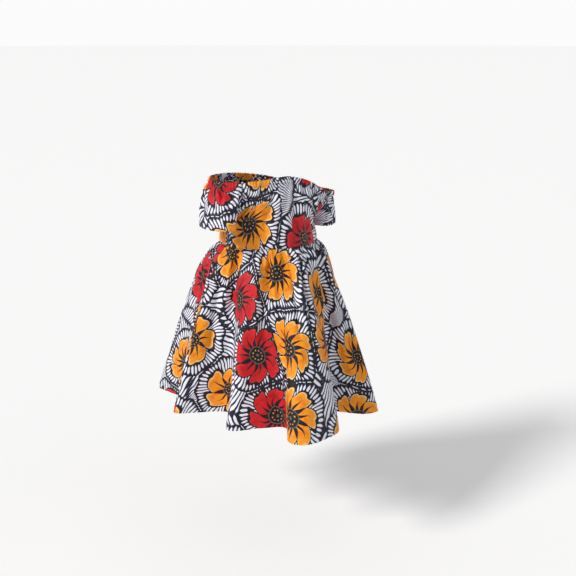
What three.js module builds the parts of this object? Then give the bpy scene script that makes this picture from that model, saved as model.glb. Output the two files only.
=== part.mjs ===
// A toddler's off-the-shoulder wax-print cotton dress in its worn shape, hollow.
// Millimetres, +Z up, the wearer faces -Y and the wearer's left is +X.
// The origin is the middle of the elastic neckline, which is where the dress is held up.
//
// Six cut pieces: a front and a back bodice, two raglan sleeves, a front and a back skirt.
// Each is one sheet of cloth given its thickness. The pieces meet edge to edge, a seam gap apart.

import * as THREE from "three";

// ---- driving dimensions ---------------------------------------------------------------------

const CLOTH_THICKNESS = 1.5;
const SEAM_GAP = 0.3;
const SLEEVE_DRAWN_BACK = 0.15; // more at the raglan seams, where the walls meet at an angle
const LONGEST_MITRE = 2.4; // how much thicker a folded seam may make the wall along its own normal

const SKIRT_DROP = 295; // from the waist seam down to the hem
const WAIST = { x: 2, y: 0, z: -101, halfWidth: 86, halfDepth: 75 };
const CHEST = { x: 1, y: 0, halfWidth: 79, halfDepth: 73 }; // the bodice at the underarms

const BODICE_COLUMNS = 20;
const RAGLAN_ROWS = 6; // from the neckline down to the underarm
const SIDE_ROWS = 2; // from the underarm down to the waist seam
const SLEEVE_NECK_COLUMNS = 10;
const SLEEVE_ROWS = 5;
const SKIRT_ROWS = 12;
const STEPS_PER_FOLD_LINE = 4;

const ARMHOLE_SCOOP = 3; // power of the curve with which a raglan seam turns under the arm
const RAGLAN_HOLLOW = 4; // how far a raglan seam bows in towards the chest
const BODICE_EASE = 3; // how far the loose bodice stands out between neckline and waist

// The neckline, as the elastic holds it round the upper arms: it dips towards the left arm.
const NECKLINE = [
  { at: "right front seam", x: -78, y: -52, z: 12 },
  { at: "front, right", x: -38, y: -64, z: 15 },
  { at: "front, middle", x: 4, y: -67, z: 18 },
  { at: "front, left", x: 44, y: -66, z: 7 },
  { at: "front, by the left seam", x: 70, y: -61, z: -8 },
  { at: "left front seam", x: 89, y: -53, z: -17 },
  { at: "left arm, front", x: 116, y: -31, z: -20 },
  { at: "left arm, outside", x: 127, y: 2, z: -22 },
  { at: "left arm, back", x: 116, y: 34, z: -20 },
  { at: "left back seam", x: 88, y: 54, z: -14 },
  { at: "back, left", x: 46, y: 66, z: -2 },
  { at: "back, middle", x: 4, y: 69, z: 6 },
  { at: "back, right", x: -40, y: 65, z: 11 },
  { at: "right back seam", x: -74, y: 47, z: 13 },
  { at: "right arm, back", x: -96, y: 24, z: 15 },
  { at: "right arm, outside", x: -108, y: -6, z: 14 },
  { at: "right arm, front", x: -100, y: -34, z: 13 },
];

// The sleeves: where the underarm is, and the open hem below it.
// side is -1 on the wearer's right. The hem is an oval: outer and inner are its half-widths
// away from and towards the body, depth is its half-depth.
const SLEEVES = {
  right: { side: -1, underarmZ: -50, hem: { x: -105, y: -25, z: -62, outer: 30, inner: 20, depth: 43 } },
  left: { side: 1, underarmZ: -64, hem: { x: 109, y: 12, z: -82, outer: 26, inner: 20, depth: 37 } },
};
const SEAM_TURN_AT_HEM = 35; // degrees of the hem oval that lie between a raglan seam's top and its front or back
const SLEEVE_PUFF = 1.8; // power of the curve with which a sleeve swells out below the neckline

// The skirt's fold lines at the hem, in order round the body from the right side seam:
// turn is the angle from the front, positive to the wearer's left, radius is from the waist's
// axis, and rise is the power of the curve by which the line stands out from waist to hem:
// 1 is straight, and less springs out of the gathers and then falls.
const FRONT_FOLDS = [
  { at: "right side seam, crest", turn: -100, radius: 178, rise: 0.7 },
  { at: "trough", turn: -80, radius: 94, rise: 0.6 },
  { at: "crest", turn: -56, radius: 158, rise: 0.65 },
  { at: "shallow flank", turn: -36, radius: 134, rise: 0.55 },
  { at: "trough", turn: -19, radius: 134, rise: 0.45 },
  { at: "flank that overhangs", turn: -20.5, radius: 198, rise: 0.8 },
  { at: "broad crest", turn: -14, radius: 213, rise: 0.75 },
  { at: "broad crest", turn: -3, radius: 203, rise: 0.7 },
  { at: "broad crest", turn: 8, radius: 188, rise: 0.7 },
  { at: "trough", turn: 30, radius: 126, rise: 0.6 },
  { at: "flank", turn: 36, radius: 180, rise: 0.9 },
  { at: "crest", turn: 43, radius: 200, rise: 0.78 },
  { at: "trough", turn: 64, radius: 142, rise: 0.5 },
];
const BACK_FOLDS = [
  { at: "left side seam, crest", turn: 88, radius: 196, rise: 0.75 },
  { at: "trough", turn: 109, radius: 136, rise: 0.5 },
  { at: "broad crest", turn: 127, radius: 194, rise: 0.75 },
  { at: "broad crest", turn: 137, radius: 203, rise: 0.7 },
  { at: "trough", turn: 155, radius: 144, rise: 0.45 },
  { at: "broad crest", turn: 180, radius: 192, rise: 0.7 },
  { at: "broad crest", turn: 190, radius: 203, rise: 0.65 },
  { at: "trough", turn: 204, radius: 146, rise: 0.5 },
  { at: "crest, before its edge", turn: 215, radius: 208, rise: 0.7 },
  { at: "crest", turn: 221, radius: 219, rise: 0.66 },
  { at: "trough", turn: 242, radius: 148, rise: 0.5 },
];

const COLOURS = {
  bodice_front: 0xe6e2ea,
  bodice_back: 0xd9d4e0,
  sleeve_right: 0xf0a030,
  sleeve_left: 0xe89420,
  skirt_front: 0xc8202c,
  skirt_back: 0xa01a28,
};

// ---- small helpers --------------------------------------------------------------------------

const mix = THREE.MathUtils.lerp;
const radians = THREE.MathUtils.degToRad;

/** A list of count + 1 values of make, for shares from 0 to 1. */
function shares(count, make) {
  return Array.from({ length: count + 1 }, (_, i) => make(i / count));
}

/** The point at a turn round the body, on a level oval. */
function onOval(oval, turn, z) {
  const x = oval.x + oval.halfWidth * Math.sin(turn);
  const y = oval.y - oval.halfDepth * Math.cos(turn);
  return new THREE.Vector3(x, y, z);
}

// ---- neckline -------------------------------------------------------------------------------

const neckCurve = new THREE.CatmullRomCurve3(
  NECKLINE.map((row) => new THREE.Vector3(row.x, row.y, row.z)),
  true,
);
const NECK_ROWS = NECKLINE.map((row) => row.at);

/** The points of a neckline stretch between two of its named rows, evenly spread by row. */
function neckStretch(from, to, count) {
  const first = NECK_ROWS.indexOf(from);
  const rows = (NECK_ROWS.indexOf(to) - first + NECK_ROWS.length) % NECK_ROWS.length;
  return shares(count, (share) => {
    const row = first + rows * share;
    return neckCurve.getPoint((row / NECK_ROWS.length) % 1);
  });
}

// ---- bodice ---------------------------------------------------------------------------------

/** The rows of a bodice panel, from neckline to waist seam. face is -1 on the front, 1 on the back.
 * Its columns run from the edge at the first neckline row to the edge at the second. */
function bodicePanel(face, from, to) {
  const top = neckStretch(from, to, BODICE_COLUMNS);
  const start = from.startsWith("right") ? -1 : 1;
  const underarm = (side) => (side < 0 ? SLEEVES.right : SLEEVES.left).underarmZ;
  const column = (i) => {
    const share = i / BODICE_COLUMNS;
    const across = start * (1 - 2 * share);
    const turn = (face < 0 ? across : Math.sign(across || 1) * 2 - across) * (Math.PI / 2);
    const z = mix(underarm(start), underarm(-start), share);
    return { neck: top[i], chest: onOval(CHEST, turn, z), waist: onOval(WAIST, turn, WAIST.z), across };
  };
  const columns = Array.from({ length: BODICE_COLUMNS + 1 }, (_, i) => column(i));
  const upper = shares(RAGLAN_ROWS, (down) =>
    columns.map(({ neck, chest, across }) => {
      const bow = Math.sin(Math.PI * down);
      const edge = across ** 2;
      const x = mix(neck.x, chest.x, down) - across * edge * RAGLAN_HOLLOW * bow;
      const y = mix(neck.y, chest.y, down ** ARMHOLE_SCOOP) + face * (1 - edge) * BODICE_EASE * bow;
      return new THREE.Vector3(x, y, mix(neck.z, chest.z, down));
    }),
  );
  const lower = shares(SIDE_ROWS, (down) => columns.map(({ chest, waist }) => chest.clone().lerp(waist, down)));
  return upper.concat(lower.slice(1));
}

// ---- sleeves --------------------------------------------------------------------------------

/** The rows of a sleeve, a tube from its raglan seams and neckline edge down to its open hem. */
function sleevePanel(sleeve, front, back, neckEdge) {
  const { side, hem } = sleeve;
  const edgeOf = (panel, right) => panel.slice(0, RAGLAN_ROWS + 1).map((row) => row[right ? 0 : row.length - 1]);
  const frontSeam = edgeOf(front, side < 0).reverse();
  const backSeam = edgeOf(back, side > 0);
  const top = [...frontSeam, ...neckEdge.slice(1, -1), ...backSeam.slice(0, -1)];
  const seamTurn = 180 - 90 - SEAM_TURN_AT_HEM;
  const turns = [
    ...shares(RAGLAN_ROWS, (s) => mix(90, 90 - seamTurn, s)),
    ...shares(SLEEVE_NECK_COLUMNS, (s) => mix(90 - seamTurn, seamTurn - 270, s)).slice(1, -1),
    ...shares(RAGLAN_ROWS, (s) => mix(seamTurn - 270, -270, s)).slice(0, -1),
  ];
  // A turn of 0 on the hem oval is its front, 90 is the body's side of it, -90 its outside.
  const bottom = turns.map((degrees) => {
    const turn = radians(degrees);
    const half = Math.sin(turn) > 0 ? hem.inner : hem.outer;
    return new THREE.Vector3(
      hem.x - side * half * Math.sin(turn),
      hem.y - hem.depth * Math.cos(turn),
      hem.z,
    );
  });
  return shares(SLEEVE_ROWS, (down) => {
    const out = 1 - (1 - down) ** SLEEVE_PUFF;
    return top.map((point, i) => {
      const end = bottom[i];
      return new THREE.Vector3(mix(point.x, end.x, out), mix(point.y, end.y, out), mix(point.z, end.z, down));
    });
  });
}

// ---- skirt ----------------------------------------------------------------------------------

/** The point at a turn and radius round the waist's axis. */
const onRound = (radius, turn, z) => onOval({ ...WAIST, halfWidth: radius, halfDepth: radius }, turn, z);

/** Gives each fold line its turn at the waist, so that the gathers there are even. */
function gatherAtWaist(folds, next) {
  const ends = [...folds, next].map((fold) => onRound(fold.radius, radians(fold.turn), 0));
  const lengths = folds.map((_, i) => ends[i].distanceTo(ends[i + 1]));
  const whole = lengths.reduce((sum, length) => sum + length);
  const first = folds[0].turn < 0 ? -90 : 90;
  let run = 0;
  return folds.map((fold, i) => {
    const waistTurn = first + (180 * run) / whole;
    run += lengths[i];
    return { ...fold, waistTurn };
  });
}

/** The closed ring of the skirt at a share of its drop. */
function skirtRing(folds, down) {
  const points = folds.map((fold) => {
    const turn = radians(mix(fold.waistTurn, fold.turn, down));
    const waist = Math.hypot(WAIST.halfWidth * Math.sin(turn), WAIST.halfDepth * Math.cos(turn));
    const radius = mix(waist, fold.radius, down ** fold.rise);
    return onRound(radius, turn, WAIST.z - SKIRT_DROP * down);
  });
  const curve = new THREE.CatmullRomCurve3(points, true);
  return shares(folds.length * STEPS_PER_FOLD_LINE, (share) => curve.getPoint(share % 1)).slice(0, -1);
}

/** The waist seam as the skirt's columns meet it. */
function waistRing(folds) {
  return folds.flatMap((fold, i) => {
    const following = i + 1 < folds.length ? folds[i + 1].waistTurn : folds[0].waistTurn + 360;
    return shares(STEPS_PER_FOLD_LINE, (share) =>
      onOval(WAIST, radians(mix(fold.waistTurn, following, share)), WAIST.z),
    ).slice(0, -1);
  });
}

/** Both skirt panels: each holds its rows of columns, from waist seam to hem. */
function skirtPanels() {
  const folds = [
    ...gatherAtWaist(FRONT_FOLDS, BACK_FOLDS[0]),
    ...gatherAtWaist(BACK_FOLDS, FRONT_FOLDS[0]),
  ];
  const rings = shares(SKIRT_ROWS, (share) => share ** 1.4).map((down) =>
    down === 0 ? waistRing(folds) : skirtRing(folds, down),
  );
  const seam = FRONT_FOLDS.length * STEPS_PER_FOLD_LINE;
  return {
    front: rings.map((ring) => ring.slice(0, seam + 1)),
    back: rings.map((ring) => [...ring.slice(seam), ring[0]]),
  };
}

// ---- from sheets to walls -------------------------------------------------------------------

const place = (point) => point.toArray().map((value) => Math.round(value * 1e4)).join();

/** Bodice and skirt meet on one level ring, where their columns differ but both walls stand upright. */
const onWaistSeam = (point) => Math.abs(point.z - WAIST.z) < 1e-6;

/** Each point's normal on its own sheet. flip turns the normals round. */
function sheetNormals({ rows, tube, flip }) {
  const last = rows[0].length - 1;
  const column = (i) => (tube ? (i + last + 1) % (last + 1) : THREE.MathUtils.clamp(i, 0, last));
  return rows.map((row, r) =>
    row.map((_, c) => {
      const across = row[column(c + 1)].clone().sub(row[column(c - 1)]);
      const down = rows[Math.min(r + 1, rows.length - 1)][c].clone().sub(rows[Math.max(r - 1, 0)][c]);
      const normal = across.cross(down).normalize();
      return flip ? normal.negate() : normal;
    }),
  );
}

/** Joins the sheets at their shared edges: one normal there, and each edge drawn back half the gap. */
function joinSheets(sheets) {
  const meeting = new Map();
  for (const sheet of sheets) {
    sheet.own = sheetNormals(sheet);
    sheet.rows.forEach((row, r) =>
      row.forEach((point, c) => {
        const key = place(point);
        const groups = meeting.get(key) ?? new Map();
        const group = groups.get(sheet.group) ?? { sum: new THREE.Vector3(), sheets: new Set() };
        group.sum.add(sheet.own[r][c]);
        group.sheets.add(sheet.name);
        groups.set(sheet.group, group);
        meeting.set(key, groups);
      }),
    );
  }
  const sharedBy = (point) => {
    const groups = [...meeting.get(place(point)).values()];
    return groups.reduce((sum, group) => sum + group.sheets.size, 0);
  };
  const sharedNormal = (point) => {
    const sum = new THREE.Vector3();
    for (const group of meeting.get(place(point)).values()) sum.add(group.sum.clone().normalize());
    if (onWaistSeam(point)) sum.setZ(0);
    return sum.normalize();
  };
  const isSewn = (point) => onWaistSeam(point) || sharedBy(point) > 1;
  for (const sheet of sheets) {
    sheet.normals = sheet.rows.map((row) => row.map(sharedNormal));
    sheet.sewn = sheet.rows.map((row) => row.map(isSewn));
    sheet.drawn = sheet.rows.map((row, r) =>
      row.map((point, c) => (sheet.sewn[r][c] ? drawBack(sheet, r, c) : point.clone())),
    );
  }
}

/** A seam point moved half the seam gap into its own sheet, away from each seam it is on. */
function drawBack({ rows, normals, sewn, tube }, r, c) {
  const distance = SEAM_GAP / 2 + (tube ? SLEEVE_DRAWN_BACK : 0);
  const point = rows[r][c];
  const lastRow = rows.length - 1;
  const lastColumn = rows[0].length - 1;
  const wrap = (i) => (tube ? (i + lastColumn + 1) % (lastColumn + 1) : THREE.MathUtils.clamp(i, 0, lastColumn));
  const beside = [wrap(c - 1), wrap(c + 1)].filter((i) => i !== c && sewn[r][i]);
  const above = [Math.max(r - 1, 0), Math.min(r + 1, lastRow)].filter((i) => i !== r && sewn[i][c]);
  const moved = point.clone();
  const pull = (inside, ends) => {
    const along = ends[ends.length - 1].clone().sub(ends.length > 1 ? ends[0] : point).normalize();
    const inward = inside.clone().sub(point);
    inward.addScaledVector(along, -inward.dot(along));
    inward.addScaledVector(normals[r][c], -inward.dot(normals[r][c]));
    moved.addScaledVector(inward.normalize(), distance);
  };
  if (beside.length && (r === 0 || r === lastRow)) {
    pull(rows[r === 0 ? 1 : r - 1][c], beside.map((i) => rows[r][i]));
  }
  if (!tube && above.length && (c === 0 || c === lastColumn)) {
    pull(rows[r][c === 0 ? 1 : c - 1], above.map((i) => rows[i][c]));
  }
  return moved;
}

/** The closed wall of a joined sheet: outer face, inner face and the cut edges between them. */
function wallGeometry(sheet) {
  const { drawn, normals, own, tube, flip } = sheet;
  const rowCount = drawn.length;
  const columnCount = drawn[0].length;
  const positions = [];
  for (const side of [1, -1]) {
    drawn.forEach((row, r) =>
      row.forEach((point, c) => {
        const mitre = Math.min(1 / Math.max(normals[r][c].dot(own[r][c]), 0.01), LONGEST_MITRE);
        const offset = (side * CLOTH_THICKNESS * mitre) / 2;
        positions.push(...point.clone().addScaledVector(normals[r][c], offset).toArray());
      }),
    );
  }
  const index = (face, r, c) => face * rowCount * columnCount + r * columnCount + (c % columnCount);
  const triangles = [];
  const quad = (a, b, c, d) => triangles.push(...(flip ? [a, c, b, a, d, c] : [a, b, c, a, c, d]));
  const spans = tube ? columnCount : columnCount - 1;
  for (let r = 0; r < rowCount - 1; r += 1) {
    for (let c = 0; c < spans; c += 1) {
      quad(index(0, r, c), index(0, r, c + 1), index(0, r + 1, c + 1), index(0, r + 1, c));
      quad(index(1, r, c), index(1, r + 1, c), index(1, r + 1, c + 1), index(1, r, c + 1));
    }
  }
  for (let c = 0; c < spans; c += 1) {
    const end = rowCount - 1;
    quad(index(0, 0, c), index(1, 0, c), index(1, 0, c + 1), index(0, 0, c + 1));
    quad(index(0, end, c), index(0, end, c + 1), index(1, end, c + 1), index(1, end, c));
  }
  if (!tube) {
    for (let r = 0; r < rowCount - 1; r += 1) {
      const end = columnCount - 1;
      quad(index(0, r, 0), index(0, r + 1, 0), index(1, r + 1, 0), index(1, r, 0));
      quad(index(0, r, end), index(1, r, end), index(1, r + 1, end), index(0, r + 1, end));
    }
  }
  const geometry = new THREE.BufferGeometry();
  geometry.setAttribute("position", new THREE.Float32BufferAttribute(positions, 3));
  geometry.setIndex(triangles);
  geometry.computeVertexNormals();
  return geometry;
}

// ---- the dress ------------------------------------------------------------------------------

const bodiceFront = bodicePanel(-1, "right front seam", "left front seam");
const bodiceBack = bodicePanel(1, "left back seam", "right back seam");
const skirt = skirtPanels();
const rightEdge = neckStretch("right back seam", "right front seam", SLEEVE_NECK_COLUMNS).reverse();
const leftEdge = neckStretch("left front seam", "left back seam", SLEEVE_NECK_COLUMNS);

const sheets = [
  { name: "bodice_front", group: "bodice", rows: bodiceFront, flip: true },
  { name: "bodice_back", group: "bodice", rows: bodiceBack, flip: true },
  { name: "sleeve_right", group: "sleeve", rows: sleevePanel(SLEEVES.right, bodiceFront, bodiceBack, rightEdge), tube: true },
  { name: "sleeve_left", group: "sleeve", rows: sleevePanel(SLEEVES.left, bodiceFront, bodiceBack, leftEdge), tube: true, flip: true },
  { name: "skirt_front", group: "skirt", rows: skirt.front, flip: true },
  { name: "skirt_back", group: "skirt", rows: skirt.back, flip: true },
];
joinSheets(sheets);

const group = new THREE.Group();
for (const sheet of sheets) {
  const cloth = new THREE.MeshStandardMaterial({ color: COLOURS[sheet.name], roughness: 0.8, metalness: 0 });
  const mesh = new THREE.Mesh(wallGeometry(sheet), cloth);
  mesh.name = sheet.name;
  group.add(mesh);
}

export default group;
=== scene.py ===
"""A toddler's off-the-shoulder wax-print cotton dress, worn shape, as thin sewn cloth.

Each cut piece is a sheet on its solid's form, with the folds, gathers, casing and turned hems
added. Sheets are worked out in millimetres and become metres when their mesh is made."""

import math

import bpy
import numpy as np
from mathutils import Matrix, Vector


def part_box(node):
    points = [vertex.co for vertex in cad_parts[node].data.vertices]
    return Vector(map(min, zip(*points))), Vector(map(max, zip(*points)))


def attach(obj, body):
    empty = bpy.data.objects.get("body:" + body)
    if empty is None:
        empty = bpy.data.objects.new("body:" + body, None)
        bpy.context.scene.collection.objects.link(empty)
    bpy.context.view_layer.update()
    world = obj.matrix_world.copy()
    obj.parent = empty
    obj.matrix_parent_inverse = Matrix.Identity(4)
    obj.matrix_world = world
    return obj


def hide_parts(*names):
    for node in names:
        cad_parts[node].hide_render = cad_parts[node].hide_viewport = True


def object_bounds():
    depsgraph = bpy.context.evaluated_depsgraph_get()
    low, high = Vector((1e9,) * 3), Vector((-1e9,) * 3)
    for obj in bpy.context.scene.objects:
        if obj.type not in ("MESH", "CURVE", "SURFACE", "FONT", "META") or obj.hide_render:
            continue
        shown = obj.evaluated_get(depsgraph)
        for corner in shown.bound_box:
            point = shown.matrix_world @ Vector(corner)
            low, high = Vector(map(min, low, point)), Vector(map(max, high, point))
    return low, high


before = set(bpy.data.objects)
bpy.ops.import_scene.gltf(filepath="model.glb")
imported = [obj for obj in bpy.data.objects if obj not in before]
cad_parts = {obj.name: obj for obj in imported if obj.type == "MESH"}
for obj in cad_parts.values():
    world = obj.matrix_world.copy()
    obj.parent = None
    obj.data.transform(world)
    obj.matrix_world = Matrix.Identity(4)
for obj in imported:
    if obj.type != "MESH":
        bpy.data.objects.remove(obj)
cad_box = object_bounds()

MM = 0.001

# ---- sizes and tables -----------------------------------------------------------------------

skirt_low, skirt_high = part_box("skirt_front")
WAIST_Z = round(skirt_high.z / MM)
SKIRT_DROP = WAIST_Z - round(skirt_low.z / MM)
WAIST = {"x": 2, "y": 0, "half_width": 86, "half_depth": 75}
CHEST = {"x": 1, "y": 0, "half_width": 79, "half_depth": 73}

CLOTH = 0.5  # the thickness of the printed cotton
CASING = 10.5  # height of the neckline casing that holds the elastic
SLEEVE_HEM = 11
SKIRT_HEM = 14
HEM_GAP = 0.9

# The powers and bows that shape the panels between their edges.
ARMHOLE_SCOOP = 3
RAGLAN_HOLLOW = 4
BODICE_EASE = 3
SEAM_TURN_AT_HEM = 35
SLEEVE_PUFF = 1.8

# The neckline, as the elastic holds it round the upper arms: (place, x, y, z).
NECKLINE = [
    ("right front seam", -78, -52, 12),
    ("front, right", -38, -64, 15),
    ("front, middle", 4, -67, 18),
    ("front, left", 44, -66, 7),
    ("front, by the left seam", 70, -61, -8),
    ("left front seam", 89, -53, -17),
    ("left arm, front", 116, -31, -20),
    ("left arm, outside", 127, 2, -22),
    ("left arm, back", 116, 34, -20),
    ("left back seam", 88, 54, -14),
    ("back, left", 46, 66, -2),
    ("back, middle", 4, 69, 6),
    ("back, right", -40, 65, 11),
    ("right back seam", -74, 47, 13),
    ("right arm, back", -96, 24, 15),
    ("right arm, outside", -108, -6, 14),
    ("right arm, front", -100, -34, 13),
]
NECK_PLACES = [row[0] for row in NECKLINE]

# side is -1 on the wearer's right; the hem is an oval with its own outer and inner half-widths.
SLEEVE_COLUMNS = ("side", "underarm", "x", "y", "z", "outer", "inner", "depth")
SLEEVES = {
    "right": dict(zip(SLEEVE_COLUMNS, (-1, -50, -105, -25, -62, 30, 20, 43))),
    "left": dict(zip(SLEEVE_COLUMNS, (1, -64, 109, 12, -82, 26, 20, 37))),
}

# The skirt's fold lines at the hem: (turn from the front in degrees, radius, rise).
FRONT_FOLDS = [
    (-100, 178, 0.7),
    (-80, 94, 0.6),
    (-56, 158, 0.65),
    (-36, 134, 0.55),
    (-19, 134, 0.45),
    (-20.5, 198, 0.8),
    (-14, 213, 0.75),
    (-3, 203, 0.7),
    (8, 188, 0.7),
    (30, 126, 0.6),
    (36, 180, 0.9),
    (43, 200, 0.78),
    (64, 142, 0.5),
]
BACK_FOLDS = [
    (88, 196, 0.75),
    (109, 136, 0.5),
    (127, 194, 0.75),
    (137, 203, 0.7),
    (155, 144, 0.45),
    (180, 192, 0.7),
    (190, 203, 0.65),
    (204, 146, 0.5),
    (215, 208, 0.7),
    (221, 219, 0.66),
    (242, 148, 0.5),
]

# Creases pressed or hung into the cloth: where across the piece (0 to 1), the
# shares of its length where the crease starts and ends, its half-width and depth (negative
# stands out), and how far it drifts sideways on its way down.
CREASES = {
    "skirt_front": [
        (0.06, 0.10, 0.80, 9, 3.0, 4),
        (0.13, 0.00, 0.45, 6, 2.6, -5),
        (0.21, 0.30, 0.96, 10, 2.4, 8),
        (0.28, 0.02, 0.60, 7, -3.0, 6),
        (0.335, 0.00, 0.38, 5, 3.2, 2),
        (0.39, 0.12, 0.90, 8, 2.2, -6),
        (0.45, 0.00, 0.55, 6, 3.6, 5),
        (0.52, 0.05, 0.42, 5, 2.6, -3),
        (0.58, 0.18, 0.98, 9, 2.4, 9),
        (0.64, 0.00, 0.50, 6, -2.8, -4),
        (0.70, 0.03, 0.66, 7, 3.0, 6),
        (0.77, 0.10, 0.88, 8, 2.8, -7),
        (0.84, 0.00, 0.48, 6, 2.6, 4),
        (0.92, 0.22, 0.94, 10, 2.2, -6),
    ],
    "skirt_back": [
        (0.07, 0.05, 0.70, 8, 2.8, 5),
        (0.15, 0.00, 0.42, 6, 3.0, -4),
        (0.22, 0.25, 0.95, 10, 2.2, 7),
        (0.31, 0.00, 0.55, 6, -2.8, -6),
        (0.38, 0.08, 0.84, 8, 2.6, 8),
        (0.46, 0.00, 0.46, 5, 3.2, 3),
        (0.55, 0.16, 0.92, 9, 2.4, -8),
        (0.63, 0.02, 0.52, 6, 3.0, 5),
        (0.71, 0.00, 0.62, 7, -2.6, 6),
        (0.79, 0.20, 0.97, 10, 2.4, -5),
        (0.87, 0.00, 0.44, 6, 2.8, 4),
        (0.94, 0.12, 0.78, 8, 2.4, -4),
    ],
    "bodice_front": [
        (0.09, 0.05, 0.75, 6, 1.6, 5),
        (0.19, 0.10, 0.55, 5, 1.4, -3),
        (0.30, 0.06, 0.95, 7, 1.8, 6),
        (0.42, 0.08, 0.60, 5, 1.5, -4),
        (0.53, 0.12, 0.98, 7, 1.7, 4),
        (0.64, 0.05, 0.52, 5, 1.6, 5),
        (0.76, 0.10, 0.88, 6, 1.9, -7),
        (0.88, 0.08, 0.70, 6, 1.8, -8),
    ],
    "bodice_back": [
        (0.10, 0.06, 0.72, 6, 1.7, 4),
        (0.24, 0.08, 0.94, 7, 1.6, -5),
        (0.37, 0.05, 0.55, 5, 1.5, 3),
        (0.51, 0.10, 0.97, 7, 1.8, 5),
        (0.66, 0.06, 0.62, 6, 1.5, -4),
        (0.80, 0.09, 0.86, 6, 1.8, 5),
        (0.92, 0.05, 0.58, 5, 1.5, -3),
    ],
    "sleeve_right": [
        (0.30, 0.05, 0.75, 5, 1.6, 3),
        (0.38, 0.10, 0.95, 6, 1.9, -4),
        (0.47, 0.06, 0.60, 5, 1.6, 2),
        (0.56, 0.12, 0.90, 6, 1.8, 5),
        (0.66, 0.05, 0.70, 5, 1.5, -3),
    ],
    "sleeve_left": [
        (0.31, 0.08, 0.88, 6, 1.8, -3),
        (0.41, 0.05, 0.62, 5, 1.6, 4),
        (0.50, 0.10, 0.94, 6, 1.9, 3),
        (0.60, 0.06, 0.66, 5, 1.5, -4),
        (0.69, 0.12, 0.85, 6, 1.6, 2),
    ],
}

# Rows and columns of the grids: a zone of rows is a strip along an edge.
BODICE_COLUMNS = 330
CASING_ROWS = 8
RAGLAN_ROWS = 40
SIDE_ROWS = 20
SLEEVE_NECK_COLUMNS = 180
SLEEVE_ROWS = 30
HEM_ROWS = 6
SKIRT_COLUMNS = 320
SKIRT_ROWS = 92
DENSE_ROWS = 70
DENSE_PLACES = 2000
SHORT_COLUMN = 0.35  # the most of a short column that an edge strip takes
WAIST_BLEND = 0.05  # share of the skirt's drop in which its folds leave the waist's oval

CASING_PUFF = 1.1
NECK_WAVE = 0.35  # how much of its shirring the neckline's very edge rises and falls by
LAYER_GAP = 0.65  # between the middles of two layers that are stitched together
STITCHED_UP = 12  # the skirt's hem stitches, above its edge
SEAM_DIP = 1.1
STITCH_DIP = 0.35
HEM_RIPPLE = 0.5
CASING_PINCH = 0.9
NECK_FADE = 12  # the gathers fade out in this much cloth past the ends of the neckline
SEAM_DRAWN_BACK = 0.36
SEAM_ALLOWANCE = 6.0
UNDERARM_ALLOWANCE = 3
STITCH_PITCH = 3.0
STITCH_LENGTH = 2.3
THREAD_RADIUS = 0.22
THREAD_PITCH = 0.45
CRUMPLE_HEIGHT = 0.5
WEAVE_HEIGHT = 0.04
SKIRT_CREASE = 2.3  # how many times deeper than its table's depth a crease is made
TOP_CREASE = 2.8
CREASE_SWELL = 0.5  # a crease's swell as a share of its depth
SEAM_CLEAR = {"skirt": 8, "top": 5}  # gathers and creases fade out this near a seam

# Uneven gathers: their pitch and depth, how far they reach, and how soon they start from a seam.
SKIRT_FULL = {"pitch": 12.5, "depth": 5.6, "reach": 92}
SKIRT_FINE = {"pitch": 6.5, "depth": 2.2, "reach": 30}
SHIRRING = {"pitch": 4.6, "depth": 1.5, "reach": 50}
TOP_SOFT = {"pitch": 10.5, "depth": 3.8, "reach": 50}
TOP_FINE = {"pitch": 5.4, "depth": 1.8, "reach": 16}
BLOUSE = {"pitch": 9.5, "depth": 2.8, "reach": 30}
GATHERS_START = 3

# Each skirt panel is cut as a sector; the other cuts are their worn widths with fullness.
SKIRT_CUT = {"waist": 400, "hem": 830, "length": 305}
NECK_FULLNESS = 1.45
WAIST_FULLNESS = 1.2
SLEEVE_FULLNESS = 1.1

CAMERA = {"round": -30, "away": 1.70, "height": 0.265, "down": 14.9, "right": 1.2, "lens": 62.5}
FLOOR_BELOW_HEM = 0.245
FLOOR_RADIUS = 40
FLOOR_SIDES = 96
FLOOR_GLOW = 0.2  # keeps the floor pale in the dress's own shade
SKY_LIGHT = 0.36

# Each light: its name, where it comes from round the dress, its height, strength, softness, colour.
SUNS = [
    ("window light", -85, 36, 2.3, 14, (1.0, 0.985, 0.96)),
    ("room light", 30, 20, 0.25, 60, (0.95, 0.97, 1.0)),
]

# ---- small helpers --------------------------------------------------------------------------


def mix(start, end, share):
    return start + (end - start) * share


def smooth(value, low, high):
    """0 below low and 1 above high, smoothly between."""
    share = np.clip((value - low) / (high - low), 0, 1)
    return share * share * (3 - 2 * share)


def lengths(vectors):
    return np.linalg.norm(vectors, axis=-1)


def unit(vectors):
    return vectors / np.maximum(lengths(vectors), 1e-9)[..., None]


def stacked(x, y, z):
    return np.stack(np.broadcast_arrays(x, y, z), axis=-1).astype(float)


def on_oval(oval, turn, z):
    """The points at turns round the body, from its front, on a level oval."""
    x = oval["x"] + oval["half_width"] * np.sin(turn)
    return stacked(x, oval["y"] - oval["half_depth"] * np.cos(turn), z)


def closed_curve(points, places):
    """Points of the closed centripetal Catmull-Rom curve through the given ones: place 2.5 is
    half way from the third to the fourth."""
    points = np.asarray(points, dtype=float)
    first = np.floor(places).astype(int)
    share = (places - first)[:, None]
    before, start, end, after = (points[(first + step) % len(points)] for step in (-1, 0, 1, 2))
    gaps = [np.sqrt(lengths(b - a))[:, None] for a, b in ((before, start), (start, end), (end, after))]
    chord = end - start
    leave = chord + gaps[1] * ((start - before) / gaps[0] - (end - before) / (gaps[0] + gaps[1]))
    arrive = chord + gaps[1] * ((after - end) / gaps[2] - (after - start) / (gaps[1] + gaps[2]))
    square = -3 * start + 3 * end - 2 * leave - arrive
    cube = 2 * start - 2 * end + leave + arrive
    return start + leave * share + square * share**2 + cube * share**3


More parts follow.
